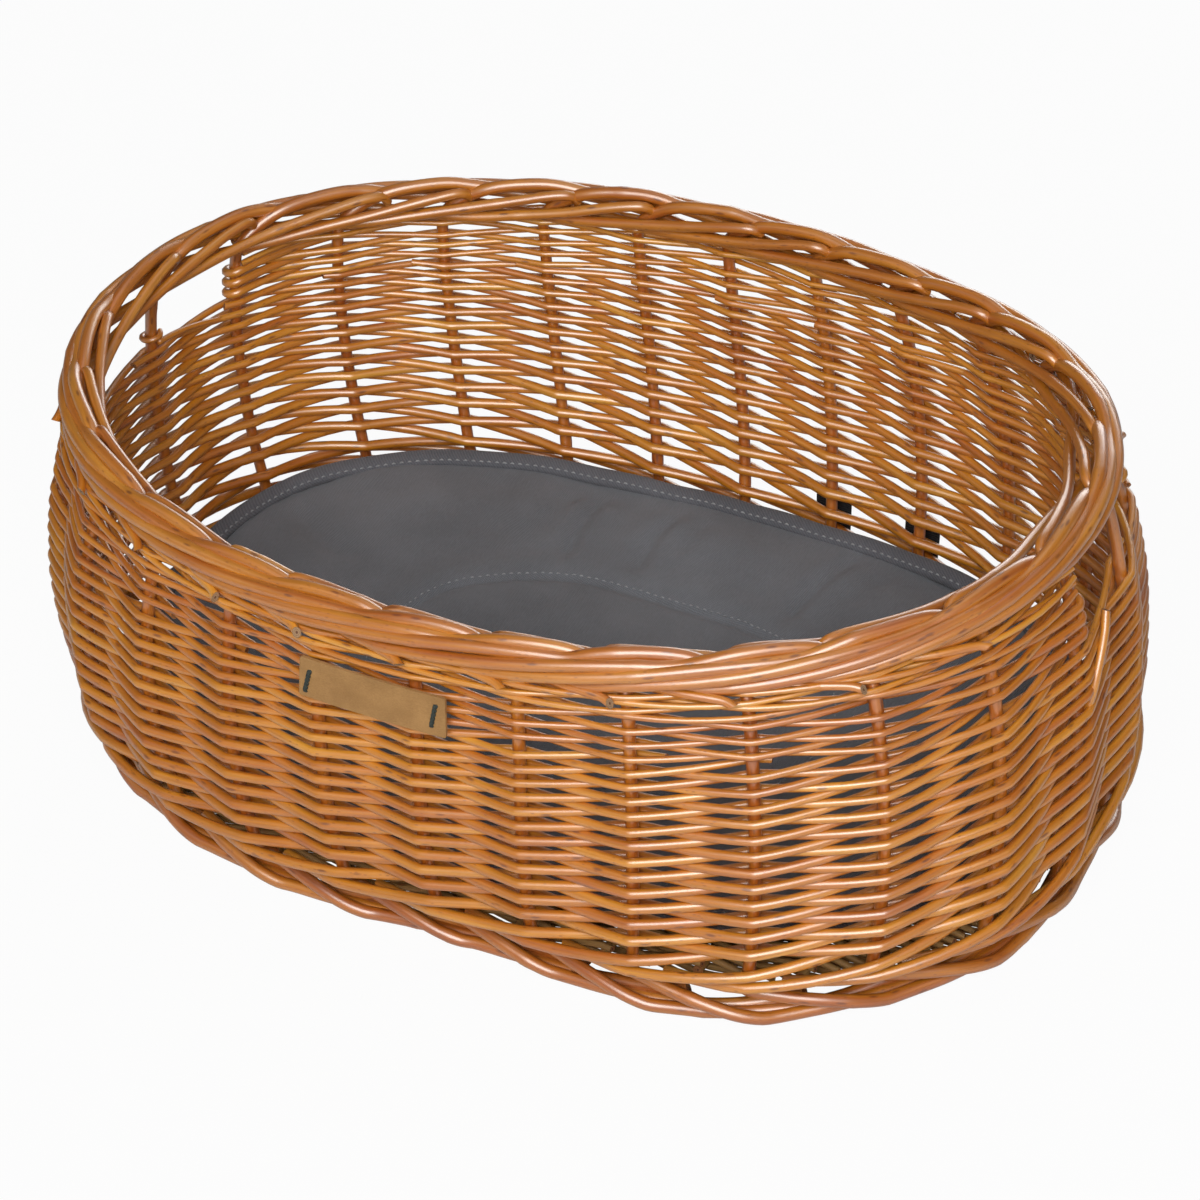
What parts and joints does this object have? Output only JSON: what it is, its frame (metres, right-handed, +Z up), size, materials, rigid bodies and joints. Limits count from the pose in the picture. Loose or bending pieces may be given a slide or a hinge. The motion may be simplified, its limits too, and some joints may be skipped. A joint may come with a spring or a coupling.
{
  "type": "wicker bicycle basket",
  "caption": "Oval wicker bicycle basket with laid rod borders, two handle holes, a woven wall and a loose dished cushion inside.",
  "frame": {"origin": "on the ground, under the middle of the basket", "axes": "+X along the basket's length, +Y across it to the side away from the tag, +Z up"},
  "size_m": [0.5702, 0.3981, 0.2195],
  "materials": {
    "weaver_willow": "glossy lacquer",
    "stake_willow": "glossy lacquer",
    "base_willow": "satin",
    "cushion_fabric": "matt woven cloth",
    "binding_tape": "twill tape",
    "tag_strip": "matt, plain",
    "webbing": "matt webbing"
  },
  "bodies": {
    "basket": {"base_panel": "base_willow", "base_sticks": "stake_willow", "course_01": "weaver_willow", "course_02": "weaver_willow", "course_03": "weaver_willow", "course_04": "weaver_willow", "course_05": "weaver_willow", "course_06": "weaver_willow", "course_07": "weaver_willow", "course_08": "weaver_willow", "course_09": "weaver_willow", "course_10": "weaver_willow", "course_11": "weaver_willow", "course_12": "weaver_willow", "packing_back": "weaver_willow", "packing_front": "weaver_willow", "stake_01": "stake_willow", "stake_02": "stake_willow", "stake_03": "stake_willow", "stake_04": "stake_willow", "stake_05": "stake_willow", "stake_06": "stake_willow", "stake_07": "stake_willow", "stake_08": "stake_willow", "stake_09": "stake_willow", "stake_10": "stake_willow", "stake_11": "stake_willow", "stake_12": "stake_willow", "stake_13": "stake_willow", "stake_14": "stake_willow", "stake_15": "stake_willow", "stake_16": "stake_willow", "stake_17": "stake_willow", "stake_18": "stake_willow", "stake_19": "stake_willow", "stake_20": "stake_willow", "stake_21": "stake_willow", "stake_22": "stake_willow", "stake_23": "stake_willow", "stake_24": "stake_willow", "stake_25": "stake_willow", "stake_26": "stake_willow", "tag": "tag_strip", "wale": "weaver_willow", "webbing_tab_1": "webbing", "webbing_tab_2": "webbing"},
    "cushion": {"cushion_pad": "cushion_fabric", "cushion_binding": "binding_tape"}
  },
  "joints": [
    {"name": "cushion_lift", "type": "slide", "parent": "basket", "child": "cushion", "axis": [0, 0, 1], "range_m": [0, 0.22]}
  ]
}
